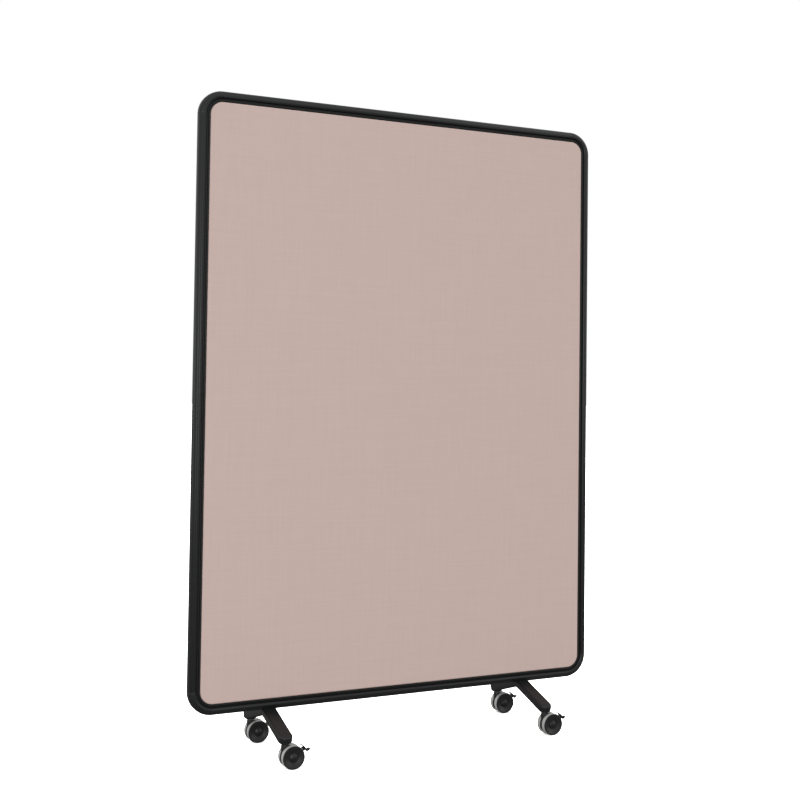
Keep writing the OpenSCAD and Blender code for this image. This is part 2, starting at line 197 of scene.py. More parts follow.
def stretched(
    tree: bpy.types.NodeTree, place: bpy.types.NodeSocket, scale: tuple[float, float, float]
) -> bpy.types.NodeSocket:
    """Scales coordinates, so that a noise on them grows long where the scale is small.

    Args:
        tree: the material's tree.
        place: the coordinates.
        scale: the scale along each axis.

    Returns:
        The scaled coordinates' socket.
    """
    return add_node(tree, "ShaderNodeMapping", {"Vector": place, "Scale": scale}).outputs["Vector"]


def relief(
    tree: bpy.types.NodeTree, shader: bpy.types.Node, height: bpy.types.NodeSocket, depth: float
) -> None:
    """Roughens a surface by a height that is too fine for the mesh.

    Args:
        tree: the material's tree.
        shader: its Principled shader.
        height: the height, from 0 to 1.
        depth: how deep the relief is, in metres.
    """
    bump = add_node(tree, "ShaderNodeBump", {"Height": height, "Distance": depth, "Strength": 1.0})
    tree.links.new(bump.outputs["Normal"], shader.inputs["Normal"])


def spread(
    tree: bpy.types.NodeTree, value: bpy.types.NodeSocket, low: float, high: float
) -> bpy.types.NodeSocket:
    """Maps the middle half of a noise to a range.

    Args:
        tree: the material's tree.
        value: the noise, from 0 to 1.
        low: the value at a quarter.
        high: the value at three quarters.

    Returns:
        The mapped value's socket.
    """
    bounds = {"Value": value, "From Min": 0.25, "From Max": 0.75, "To Min": low, "To Max": high}
    return add_node(tree, "ShaderNodeMapRange", bounds).outputs["Result"]


def shaded(tree: bpy.types.NodeTree, colour: str, share: bpy.types.NodeSocket) -> bpy.types.NodeSocket:
    """Multiplies a colour by a grey share.

    Args:
        tree: the material's tree.
        colour: the sRGB hex colour.
        share: how much of it is left, about 1.

    Returns:
        The shaded colour's socket.
    """
    parts = {0: linear(colour)[:3], "Scale": share}
    return add_node(tree, "ShaderNodeVectorMath", parts, operation="SCALE").outputs["Vector"]


@dataclass(frozen=True)
class Coated(Finish):
    """A dull or satin surface with a fine skin: powder coat, moulded plastic, vinyl or rubber.

    Its skin is lumps of one size, and its gloss and tone drift a little over a hand's width.
    """

    grain: float = 2.0 * MM
    depth: float = 0.01 * MM
    drift: float = 90 * MM
    gloss_drift: float = 0.04
    tone_drift: float = 0.06

    def texture(self, tree: bpy.types.NodeTree, shader: bpy.types.Node, place: bpy.types.NodeSocket) -> None:
        """Adds the skin's bump, and the drift of gloss and tone."""
        broad = noise(tree, place, self.drift, 3.0)
        gloss = spread(tree, broad, self.roughness - self.gloss_drift, self.roughness + self.gloss_drift)
        tone = spread(tree, broad, 1 - self.tone_drift, 1 + self.tone_drift)
        relief(tree, shader, noise(tree, place, self.grain), self.depth)
        tree.links.new(gloss, shader.inputs["Roughness"])
        tree.links.new(shaded(tree, self.colour, tone), shader.inputs["Base Color"])


@dataclass(frozen=True)
class Plated(Finish):
    """Zinc-plated or black-oxide steel, or mill-finish alloy: a metal with faint lines drawn along Z."""

    metallic: float = 1.0
    line: float = 0.25 * MM
    line_length: float = 12 * MM
    depth: float = 0.004 * MM
    brighter: float = 0.05
    duller: float = 0.08

    def texture(self, tree: bpy.types.NodeTree, shader: bpy.types.Node, place: bpy.types.NodeSocket) -> None:
        """Adds the drawn lines, and clouds of brighter and duller plating."""
        along = stretched(tree, place, (1.0, 1.0, self.line / self.line_length))
        relief(tree, shader, noise(tree, along, self.line), self.depth)
        clouds = noise(tree, place, self.line_length, 3.0)
        gloss = spread(tree, clouds, self.roughness - self.brighter, self.roughness + self.duller)
        tree.links.new(gloss, shader.inputs["Roughness"])


@dataclass(frozen=True)
class Fibres(Finish):
    """Pressed wood fibre board: short pale and dark fibres, and no shine."""

    fibre: float = 1.2 * MM
    fibre_length: float = 9 * MM
    depth: float = 0.1 * MM
    dark: float = 0.8
    pale: float = 1.15

    def texture(self, tree: bpy.types.NodeTree, shader: bpy.types.Node, place: bpy.types.NodeSocket) -> None:
        """Adds the fibres' tone and their slight relief."""
        along = stretched(tree, place, (self.fibre / self.fibre_length, 1.0, 1.0))
        fibres = noise(tree, along, self.fibre, 4.0)
        tone = spread(tree, fibres, self.dark, self.pale)
        relief(tree, shader, fibres, self.depth)
        tree.links.new(shaded(tree, self.colour, tone), shader.inputs["Base Color"])


@dataclass(frozen=True)
class PlainWeave(Finish):
    """Screen fabric: a plain weave of slightly uneven polyester yarns, melange dyed.

    Real yarns lie about 0.9 mm apart. They are drawn at 1.5 mm, so that the weave holds together in a close
    view; from the photograph's distance only the yarns' uneven thickness is left, as faint level and upright
    streaks.
    """

    pitch: float = 1.5 * MM
    depth: float = 0.16 * MM
    slub: float = 60 * MM
    slub_tone: float = 0.035
    shadow: float = 0.86
    sheen: float = 0.12
    sheen_roughness: float = 0.5

    def texture(self, tree: bpy.types.NodeTree, shader: bpy.types.Node, place: bpy.types.NodeSocket) -> None:
        """Adds the over-and-under relief, the shade between yarns, and the streaks of thick and thin yarn."""
        axes = add_node(tree, "ShaderNodeSeparateXYZ", {0: place}).outputs
        warp, weft = self._wave(tree, axes["X"]), self._wave(tree, axes["Z"])
        # Where the two waves have one sign the warp is on top, and elsewhere the weft is
        warp_top = self._math(tree, "MULTIPLY_ADD", self._math(tree, "MULTIPLY", warp, weft), 0.5, 0.5)
        yarns = {0: warp_top, 2: self._math(tree, "ABSOLUTE", weft), 3: self._math(tree, "ABSOLUTE", warp)}
        height = add_node(tree, "ShaderNodeMix", yarns, data_type="FLOAT").outputs[0]
        upright = self._streak(tree, place, (1.0, 1.0, self.pitch / self.slub))
        level = self._streak(tree, place, (self.pitch / self.slub, 1.0, 1.0))
        streaks = self._math(tree, "ADD", upright, level)
        tone = self._math(tree, "MULTIPLY", streaks, spread(tree, height, self.shadow, 1.0))
        relief(tree, shader, height, self.depth)
        tree.links.new(shaded(tree, self.colour, tone), shader.inputs["Base Color"])
        shader.inputs["Sheen Weight"].default_value = self.sheen
        shader.inputs["Sheen Roughness"].default_value = self.sheen_roughness

    def _math(
        self, tree: bpy.types.NodeTree, operation: str, *values: float | bpy.types.NodeSocket
    ) -> bpy.types.NodeSocket:
        """Adds one step of arithmetic and returns its result's socket."""
        return add_node(tree, "ShaderNodeMath", dict(enumerate(values)), operation=operation).outputs[0]

    def _wave(self, tree: bpy.types.NodeTree, axis: bpy.types.NodeSocket) -> bpy.types.NodeSocket:
        """A sine that crosses zero once in each yarn's pitch."""
        return self._math(tree, "SINE", self._math(tree, "MULTIPLY", axis, math.pi / self.pitch))

    def _streak(
        self, tree: bpy.types.NodeTree, place: bpy.types.NodeSocket, stretch: tuple[float, float, float]
    ) -> bpy.types.NodeSocket:
        """Half of the tone of one set of yarns, each lighter or darker along its slubs.

        Args:
            tree: the material's tree.
            place: Object coordinates.
            stretch: the scale along each axis, small along the yarn.

        Returns:
            The tone's socket, about one half.
        """
        yarns = noise(tree, stretched(tree, place, stretch), 2 * self.pitch, 1.0)
        return spread(tree, yarns, 0.5 - self.slub_tone / 2, 0.5 + self.slub_tone / 2)


@dataclass(frozen=True)
class StudioFloor(Finish):
    """Matt white paper that throws only part of its light back, as a small lit sheet would."""

    thrown_back: float = 0.25
    burnt_out: float = 3.5

    def texture(self, tree: bpy.types.NodeTree, shader: bpy.types.Node, place: bpy.types.NodeSocket) -> None:
        """Dims the light that the paper bounces, and burns the paper out, as an exposure for black does."""
        seen = add_node(tree, "ShaderNodeLightPath").outputs["Is Camera Ray"]
        bounds = {"Value": seen, "To Min": self.thrown_back, "To Max": self.burnt_out}
        share = add_node(tree, "ShaderNodeMapRange", bounds).outputs["Result"]
        tree.links.new(shaded(tree, self.colour, share), shader.inputs["Base Color"])


# Satin black polyester powder on extruded aluminium: an even, slightly soft shine with faint orange peel
FRAME_COAT = Coated(
    "satin_powder_coat", "#18191a", 0.42, specular=0.3, grain=2.2 * MM, depth=0.004 * MM, gloss_drift=0.02
)
# The same powder on a sand-cast arm: a little duller, with the casting's coarser skin showing through
FOOT_COAT = Coated("powder_coated_casting", "#131415", 0.46, specular=0.36, grain=3.0 * MM, depth=0.012 * MM)
# Flexible vinyl pressed into the shadow gap: dull and quite even
TRIM_VINYL = Coated("soft_vinyl_trim", "#0f0f10", 0.5, specular=0.3, grain=1.2 * MM, depth=0.004 * MM)
# Melange polyester, woven plain: dusty pink-beige and quite matt, with a faint sheen at a glancing look
FABRIC = PlainWeave("woven_screen_fabric", "#cdb7af", 0.9, specular=0.25)
# Light fibre board, only pressed: fawn, flecked and without shine
BOARD = Fibres("fibre_board", "#b18f62", 0.85)
# Glass-filled nylon from a spark-eroded mould: a fine even grain and a low shine
HOOD_NYLON = Coated("moulded_black_nylon", "#1b1b1c", 0.48, specular=0.35, grain=0.9 * MM, depth=0.01 * MM)
# The hub is moulded smoother, so that it is slightly glossier
HUB_NYLON = Coated("satin_black_nylon", "#171718", 0.42, specular=0.4, grain=0.9 * MM, depth=0.004 * MM)
# Cast polyurethane tyre for hard floors: pale grey, rubbery, a little scuffed
TREAD_URETHANE = Coated(
    "grey_polyurethane", "#b3b5b2", 0.55, grain=1.6 * MM, depth=0.02 * MM, drift=14 * MM, tone_drift=0.05
)
# Zinc plating on turned steel: a cool bright grey, a little clouded
ZINC_STEEL = Plated("zinc_plated_steel", "#b9bcc0", 0.32)
# Black oxide on screw steel: nearly black, with an oily half shine
BLACK_STEEL = Plated("black_oxide_steel", "#2f3033", 0.42)
# Sawn aluminium extrusion, left as the mill made it: pale, with a soft shine
KEY_ALLOY = Plated("mill_finish_alloy", "#c3c4c6", 0.36)
# Background paper: white and matt
STUDIO_PAPER = StudioFloor("white_studio_floor", "#fbfbfa", 0.9, specular=0.2)


# ---- Mesh helpers ----


def new_piece(name: str, mesh: bpy.types.Mesh, finish: Finish) -> bpy.types.Object:
    """Puts a mesh into the scene as one piece.

    Args:
        name: the piece's name.
        mesh: its mesh, already in place.
        finish: what its surface is.

    Returns:
        The piece.
    """
    mesh.name = name
    mesh.materials.clear()
    mesh.materials.append(finish.material())
    piece = bpy.data.objects.new(name, mesh)
    bpy.context.scene.collection.objects.link(piece)
    return piece


def dress(node: bpy.types.Object, finish: Finish) -> str:
    """Gives a node of the frame its finish.

    Args:
        node: the node's object.
        finish: what its surface is.

    Returns:
        The node's name.
    """
    node.data.materials.clear()
    node.data.materials.append(finish.material())
    return node.name


def smooth(mesh: bpy.types.Mesh, crease: float = 35.0) -> None:
    """Shades a mesh smooth, except over edges sharper than an angle.

    Args:
        mesh: the mesh.
        crease: the angle in degrees.
    """
    mesh.polygons.foreach_set("use_smooth", [True] * len(mesh.polygons))
    mesh.set_sharp_from_angle(angle=math.radians(crease))
    mesh.update()


def face_outwards(mesh: bpy.types.Mesh) -> None:
    """Turns every face of a closed mesh outwards.

    Args:
        mesh: the mesh, which is changed in place.
    """
    shape = bmesh.new()
    shape.from_mesh(mesh)
    bmesh.ops.recalc_face_normals(shape, faces=shape.faces)
    shape.to_mesh(mesh)
    shape.free()


def baked(piece: bpy.types.Object, name: str) -> bpy.types.Mesh:
    """Turns a piece with its modifiers into a plain mesh, and removes the piece.

    Args:
        piece: the object with live modifiers.
        name: the new mesh's name.

    Returns:
        The evaluated mesh.
    """
    bpy.context.view_layer.update()
    graph = bpy.context.evaluated_depsgraph_get()
    mesh = bpy.data.meshes.new_from_object(piece.evaluated_get(graph), depsgraph=graph)
    mesh.name = name
    piece.modifiers.clear()
    bpy.data.objects.remove(piece)
    return mesh


def arc(centre: Point, radius: float, start: float, end: float, steps: int) -> list[Point]:
    """Points along an arc, both ends included.

    Args:
        centre: the arc's centre.
        radius: its radius.
        start: its first angle in degrees.
        end: its last angle in degrees.
        steps: how many chords it has.

    Returns:
        The points in order.
    """
    angles = [math.radians(start + (end - start) * i / steps) for i in range(steps + 1)]
    return [(centre[0] + radius * math.cos(a), centre[1] + radius * math.sin(a)) for a in angles]


def rounded(
    corners: Sequence[tuple[float, float, float]], steps: int = 4, share: float = 0.49
) -> list[Point]:
    """Rounds the inner corners of an open line.

    Args:
        corners: x, y and the rounding's radius at each corner. The first and last corner stay sharp.
        steps: how many chords each rounding has.
        share: the most of a straight that one rounding takes, so that its neighbour has room.

    Returns:
        The rounded line's points.
    """
    points: list[Point] = [corners[0][:2]]
    for before, here, after in zip(corners, corners[1:], corners[2:]):
        corner = Vector(here[:2])
        back, on = Vector(before[:2]) - corner, Vector(after[:2]) - corner
        turn = back.angle(on)
        if here[2] <= 0 or turn > math.pi - 1e-3:
            points.append(here[:2])
            continue
        reach = min(here[2] / math.tan(turn / 2), share * back.length, share * on.length)
        radius = reach * math.tan(turn / 2)
        centre = corner + (back.normalized() + on.normalized()).normalized() * radius / math.sin(turn / 2)
        first = corner + back.normalized() * reach - centre
        last = corner + on.normalized() * reach - centre
        for i in range(steps + 1):
            spoke = first.slerp(last, i / steps)
            points.append(tuple(centre + spoke.normalized() * radius))
    points.append(corners[-1][:2])
    return points


def turned(section: Sequence[Point], middle: Vector, outwards: Vector, segments: int = 72) -> bpy.types.Mesh:
    """Turns an open section about an axis, as on a lathe. Its ends lie on the axis and become poles.

    Args:
        section: radius and height along the axis for each point, from the outer pole to the inner one.
        middle: the point on the axis where the height is 0.
        outwards: the axis' direction.
        segments: how many steps the turn has.

    Returns:
        The closed mesh, in place.
    """
    axis = outwards.normalized()
    right = axis.orthogonal().normalized()
    up = axis.cross(right)
    angles = [2 * math.pi * i / segments for i in range(segments)]
    spokes = [right * math.cos(a) + up * math.sin(a) for a in angles]
    shape = bmesh.new()
    rings = []
    for radius, height in section:
        base = middle + axis * height
        rings.append([shape.verts.new(base + spoke * radius) for spoke in spokes])
    for near, far in zip(rings, rings[1:]):
        for i in range(segments):
            j = (i + 1) % segments
            shape.faces.new((near[i], near[j], far[j], far[i]))
    bmesh.ops.remove_doubles(shape, verts=shape.verts, dist=MERGED)
    bmesh.ops.recalc_face_normals(shape, faces=shape.faces)
    mesh = bpy.data.meshes.new("turned")
    shape.to_mesh(mesh)
    shape.free()
    return mesh


def softened(
    source: bpy.types.Object, name: str, width: float, finish: Finish, flat: float = 0.5, sharp: float = 32.0
) -> bpy.types.Object:
    """Makes a piece from a node's shape with its sharp edges broken, as a mould or a casting leaves them.

    Args:
        source: the node's object, which stays as it is.
        name: the new piece's name.
        width: how wide each broken edge is.
        finish: what its surface is.
        flat: faces that turn by less than this angle in degrees are joined.
        sharp: edges that turn by more than this angle in degrees are broken.

    Returns:
        The piece.
    """
    mesh = source.data.copy()
    shape = bmesh.new()
    shape.from_mesh(mesh)
    bmesh.ops.remove_doubles(shape, verts=shape.verts, dist=MERGED)
    bmesh.ops.dissolve_limit(shape, angle_limit=math.radians(flat), verts=shape.verts, edges=shape.edges)
    shape.to_mesh(mesh)
    shape.free()
    blank = bpy.data.objects.new(name, mesh)
    bpy.context.scene.collection.objects.link(blank)
    edge = blank.modifiers.new("broken edges", "BEVEL")
    edge.width = width
    edge.segments = 2
    edge.limit_method = "ANGLE"
    edge.angle_limit = math.radians(sharp)
    result = baked(blank, name)
    smooth(result)
    return new_piece(name, result, finish)


# ---- Screen ----


def bend_radius(edge: float) -> float:
    """The radius of a bend round the same centres as the frame's corners.

    Args:
        edge: where the bent outline's left side lies, along X.

    Returns:
        Its corner radius.
    """
    _, corner_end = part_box("top_left_corner")
    return corner_end.x - edge


def stand_up(mesh: bpy.types.Mesh, side: Side, node: str) -> None:
    """Stands a closed mesh that lies on its back, with its base at Z = 0, in a node's place on the screen.

    Args:
        mesh: the mesh, which is changed in place and shaded smooth.
        side: the side of the screen that it looks to.
        node: the node whose place it takes.
    """
    low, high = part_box(node)
    base = low.y if side is Side.REAR else high.y
    height = (low.z + high.z) / 2
    mesh.transform(Matrix(((1, 0, 0, 0), (0, 0, side.value, base), (0, 1, 0, height), (0, 0, 0, 1))))
    face_outwards(mesh)
    smooth(mesh, 50.0)


@dataclass
class SoftPad:
    """One face of the screen: fabric drawn over a foam sheet, rolled softly over its edge.

    foam_push, cloth_mass and settle_frames are the cloth run's pressure, mass and length. foam_give is the
    lift in that run over which the foam has given most of its crown.
    """

    side: Side
    cell: float = 24 * MM
    roll: float = 3.2 * MM
    roll_steps: int = 5
    crown: float = 0.6 * MM
    corner_steps: int = 10
    foam_push: float = 0.12
    foam_give: float = 6 * MM
    cloth_mass: float = 0.05
    settle_frames: int = 12

    def blank(self) -> bpy.types.Mesh:
        """Makes the padded sheet that both sides of the screen are covered with.

        Returns:
            The closed sheet, lying on its back with its face at +Z and its middle at the origin.
        """
        low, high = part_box(f"{self.side.label}_fabric")
        mesh = self._mesh(high.x - low.x, high.z - low.z, bend_radius(low.x), high.y - low.y)
        return self._pressed_out(mesh)

    def build(self, blank: bpy.types.Mesh) -> bpy.types.Object:
        """Stands a padded sheet on its side of the board, for the fabric and foam nodes there.

        Args:
            blank: the sheet lying on its back, which stays as it is.

        Returns:
            The pad.
        """
        label = self.side.label
        mesh = blank.copy()
        stand_up(mesh, self.side, f"{label}_fabric")
        piece = new_piece(f"{label}_pad", mesh, FABRIC)
        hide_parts(f"{label}_fabric", f"{label}_foam")
        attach(piece, "screen")
        return piece

    def _pressed_out(self, blank: bpy.types.Mesh) -> bpy.types.Mesh:
        """Lets the foam press the taut fabric out, as a short run of cloth that is held round its rim.

        Args:
            blank: the pad with a flat face at its highest Z.

        Returns:
            The pad with its crown. The board behind the foam holds it to the crown's height.
        """
        before = [v.co.copy() for v in blank.vertices]
        face = max(co.z for co in before) - MERGED
        # Every edge of the mesh that has an end below the face is held, and so the face's rim is held too
        low_edges = [edge for edge in blank.edges if min(before[i].z for i in edge.vertices) < face]
        fixed = {i for edge in low_edges for i in edge.vertices}
        piece = bpy.data.objects.new("fabric_blank", blank)
        bpy.context.scene.collection.objects.link(piece)
        held = piece.vertex_groups.new(name="held")
        held.add(sorted(fixed), 1.0, "REPLACE")
        cloth = piece.modifiers.new("fabric", "CLOTH").settings
        cloth.vertex_group_mass = held.name
        cloth.quality = 5
        cloth.mass = self.cloth_mass
        cloth.effector_weights.gravity = 0.0
        cloth.use_pressure = True
        cloth.uniform_pressure_force = self.foam_push
        for frame in range(1, self.settle_frames + 1):
            bpy.context.scene.frame_set(frame)
        mesh = baked(piece, "pad")
        bpy.context.scene.frame_set(1)
        for vertex, start in zip(mesh.vertices, before):
            lift = max(vertex.co.z - start.z, 0.0)
            vertex.co = (start.x, start.y, start.z + self.crown * (1 - math.exp(-lift / self.foam_give)))
        return mesh

    def _lines(self, length: float, radius: float) -> list[float]:
        """Grid lines across one side: fine in both corners, and evenly spaced in between.

        Args:
            length: the flat face's size on that side.
            radius: its corner radius.

        Returns:
            The lines' places, from -length / 2 to length / 2.
        """
        steps = self.corner_steps
        corner = [length / 2 - radius + radius * i / steps for i in range(1, steps + 1)]
        straight = length - 2 * radius
        count = max(2, round(straight / self.cell))
        between = [-straight / 2 + straight * i / count for i in range(count + 1)]
        return [-x for x in reversed(corner)] + between + corner

    def _mesh(self, width: float, height: float, radius: float, thickness: float) -> bpy.types.Mesh:
        """Builds the closed pad, lying on its back with its face at +Z.

        Args:
            width: its size along X.
            height: its size along Y.
            radius: its corner radius.
            thickness: its size along Z.

        Returns:
            The mesh.
        """
        face = (width - 2 * self.roll, height - 2 * self.roll, radius - self.roll)
        columns, rows = self._lines(face[0], face[2]), self._lines(face[1], face[2])
        shape = bmesh.new()
        top = thickness - self.crown
        grid = [[shape.verts.new((*self._seat(x, y, *face), top)) for x in columns] for y in rows]
        for low, high in zip(grid, grid[1:]):
            for i in range(len(columns) - 1):
                shape.faces.new((low[i], low[i + 1], high[i + 1], high[i]))
        bottom, right = grid[0][:-1], [row[-1] for row in grid[:-1]]
        top_row, left = grid[-1][:0:-1], [row[0] for row in grid[:0:-1]]
        rim = bottom + right + top_row + left
        outward = [self._outward(v.co, *face) for v in rim]
        ring = rim
        profile = arc((0, top - self.roll), self.roll, 90, 0, self.roll_steps)[1:] + [(self.roll, 0.0)]
        for out, level in profile:
            new = [shape.verts.new((*(v.co.xy + n * out), level)) for v, n in zip(rim, outward)]
            for i in range(len(rim)):
                j = (i + 1) % len(rim)
                shape.faces.new((ring[i], ring[j], new[j], new[i]))
            ring = new
        shape.faces.new(ring)
        mesh = bpy.data.meshes.new("pad")
        shape.to_mesh(mesh)
        shape.free()
        return mesh

    @staticmethod
    def _seat(x: float, y: float, width: float, height: float, radius: float) -> Point:
        """Bends a square grid's point into the rounded face.

        Args:
            x: the point's place along X.
            y: the point's place along Y.
            width: the face's size along X.
            height: the face's size along Y.
            radius: its corner radius.

        Returns:
            The point on the face.
        """
        a = max(0.0, (abs(x) - (width / 2 - radius)) / radius)
        b = max(0.0, (abs(y) - (height / 2 - radius)) / radius)
        if a > 0 and b > 0:
            near_x, near_y = width / 2 - radius, height / 2 - radius
            x = math.copysign(near_x + radius * a * math.sqrt(1 - b * b / 2), x)
            y = math.copysign(near_y + radius * b * math.sqrt(1 - a * a / 2), y)
        return x, y

    @staticmethod
    def _outward(point: Vector, width: float, height: float, radius: float) -> Vector:
        """The level direction out of the face at a point of its rim."""
        a, b = abs(point.x) - (width / 2 - radius), abs(point.y) - (height / 2 - radius)
        flat = Vector((max(a, 0.0), max(b, 0.0))).normalized()
        return Vector((math.copysign(flat.x, point.x), math.copysign(flat.y, point.y)))


@dataclass
class EdgeTrim:
    """The vinyl trim of one side: a flat base in the shadow groove and a rounded lip against the fabric."""

    side: Side
    lip_width: float = 5.4 * MM
    lip_round: float = 1.2 * MM
    base_depth: float = 3.4 * MM
    foot_round: float = 0.8 * MM
    gap: float = 0.1 * MM
    crest_steps: int = 12
    corner_steps: int = 14

    def build(self) -> bpy.types.Object:
        """Sweeps the trim's section round the frame's opening.

        Returns:
            The trim.
        """
        label = self.side.label
        low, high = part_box(f"{label}_trim")
        section = self._section(high.y - low.y, low.x)
        carrier = bpy.data.objects.new("sweep", bpy.data.meshes.new("sweep"))
        bpy.context.scene.collection.objects.link(carrier)
        sweep = carrier.modifiers.new("sweep", "NODES")
        sweep.node_group = sweep_tree()
        sizes = {
            "Section": section,
            "Width": high.x - low.x,
            "Height": high.z - low.z,
            "Corner Radius": bend_radius(low.x),
            "Corner Steps": self.corner_steps,
            "Material": TRIM_VINYL.material(),
        }
        set_inputs(sweep, sizes)
        mesh = baked(carrier, f"{label}_lip")
        bpy.data.objects.remove(section)
        stand_up(mesh, self.side, f"{label}_trim")
        piece = new_piece(f"{label}_lip", mesh, TRIM_VINYL)
        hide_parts(f"{label}_trim")
        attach(piece, "screen")
        return piece

    def _section(self, rise: float, outer: float) -> bpy.types.Object:
        """Draws the trim's closed outline as a curve: X runs inwards from the outer edge, Y up to the lip.

        Args:
            rise: the lip's full height.
            outer: where the trim's outer edge lies, along -X.

        Returns:
            The curve's object.
        """
        fabric_low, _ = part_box(f"{self.side.label}_fabric")
        width = fabric_low.x - outer - self.gap
        radius = self.lip_width / 2
        crest = arc((width - radius, rise - radius), radius, 180, 0, self.crest_steps)
        foot = [
            (0.0, 0.0, 0),
            (0.0, self.base_depth, self.foot_round),
            (width - self.lip_width, self.base_depth, self.lip_round),
            (*crest[0], 0),
        ]
        outline = rounded(foot) + crest[1:] + [(width, 0.0)]
        curve = bpy.data.curves.new("trim_section", "CURVE")
        curve.dimensions = "3D"
        spline = curve.splines.new("POLY")
        spline.points.add(len(outline) - 1)
        for point, (x, y) in zip(spline.points, outline):
            # The sweep lays the section's X along the lip's rise and its Y outwards
            point.co = (y, -x, 0, 1)
        spline.use_cyclic_u = True
        made = bpy.data.objects.new("trim_section", curve)
        bpy.context.scene.collection.objects.link(made)
        return made


def sweep_tree() -> bpy.types.NodeTree:
    """Builds the tree that sweeps a section round the inside of a rounded rectangle.

    Returns:
        The tree, made once.
    """
    made = bpy.data.node_groups.get("trim_sweep")
    if made:
        return made
    tree = bpy.data.node_groups.new("trim_sweep", "GeometryNodeTree")
    for name, kind in (
        ("Section", "NodeSocketObject"),
        ("Width", "NodeSocketFloat"),
        ("Height", "NodeSocketFloat"),
        ("Corner Radius", "NodeSocketFloat"),
        ("Corner Steps", "NodeSocketInt"),
        ("Material", "NodeSocketMaterial"),
    ):
        tree.interface.new_socket(name, in_out="INPUT", socket_type=kind)
    tree.interface.new_socket("Geometry", in_out="OUTPUT", socket_type="NodeSocketGeometry")
    sizes = add_node(tree, "NodeGroupInput").outputs
    path = add_node(
        tree, "GeometryNodeCurvePrimitiveQuadrilateral", {"Width": sizes["Width"], "Height": sizes["Height"]}
    )
    bent = add_node(
        tree,
        "GeometryNodeFilletCurve",
        {"Curve": path.outputs["Curve"], "Radius": sizes["Corner Radius"], "Count": sizes["Corner Steps"]},
        mode="POLY",
    )
    facing = add_node(
        tree,
        "GeometryNodeSetCurveNormal",
        {"Curve": bent.outputs["Curve"], "Normal": (0.0, 0.0, 1.0)},
        mode="FREE",
    )
    section = add_node(
        tree, "GeometryNodeObjectInfo", {"Object": sizes["Section"]}, transform_space="ORIGINAL"
    )
    swept = add_node(
        tree,
        "GeometryNodeCurveToMesh",
        {"Curve": facing.outputs["Curve"], "Profile Curve": section.outputs["Geometry"], "Fill Caps": False},
    )
    real = add_node(tree, "GeometryNodeRealizeInstances", {"Geometry": swept.outputs["Mesh"]})
    dressed = add_node(
        tree,
        "GeometryNodeSetMaterial",
        {"Geometry": real.outputs["Geometry"], "Material": sizes["Material"]},
    )
    add_node(tree, "NodeGroupOutput", {"Geometry": dressed.outputs["Geometry"]})
    return tree


def set_inputs(modifier: bpy.types.Modifier, values: dict) -> None:
    """Sets a Geometry Nodes modifier's inputs by their names.

    Args:
        modifier: the modifier.
        values: a value for each input's name.
    """
    for item in modifier.node_group.interface.items_tree:
        if item.in_out == "INPUT" and item.name in values:
            modifier[item.identifier] = values[item.name]


@dataclass
class Screen:
    """The screen: its edge frame, the corner joints inside it, the board, two pads and two trims."""

    nodes: dict[str, bpy.types.Object]
    profiles: tuple[str, ...] = ("left_stile", "right_stile", "top_rail", "bottom_rail")
    corners: tuple[str, ...] = ("top_left", "top_right", "bottom_left", "bottom_right")
    edge: float = 0.15 * MM

    def build(self) -> Iterable[str]:
        """Dresses the screen.

        Yields:
            The name of each piece as it is finished.
        """
        for name in [*self.profiles, *(f"{corner}_corner" for corner in self.corners)]:
            piece = softened(self.nodes[name], f"{name}_profile", self.edge, FRAME_COAT)
            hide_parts(name)
            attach(piece, "screen")
            yield piece.name
        yield dress(self.nodes["corner_keys"], KEY_ALLOY)
        yield dress(self.nodes["grub_screws"], ZINC_STEEL)
        yield dress(self.nodes["core_board"], BOARD)
        blank = SoftPad(Side.FRONT).blank()
        for side in Side:
            yield SoftPad(side).build(blank).name
            yield EdgeTrim(side).build().name


# ---- Feet and casters ----


@dataclass
class Foot:
    """One foot: the casting, the plate that it is screwed to, and its two screws."""

    nodes: dict[str, bpy.types.Object]
    side: str
    edge: float = 0.9 * MM

    def build(self) -> Iterable[str]:
        """Dresses the foot.

        Yields:
            The name of each piece as it is finished.
        """
        casting = softened(self.nodes[f"{self.side}_foot"], f"{self.side}_casting", self.edge, FOOT_COAT)
        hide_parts(f"{self.side}_foot")
        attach(casting, "screen")
        yield casting.name
        yield dress(self.nodes[f"{self.side}_backing_plate"], ZINC_STEEL)
        yield dress(self.nodes[f"{self.side}_foot_screws"], BLACK_STEEL)


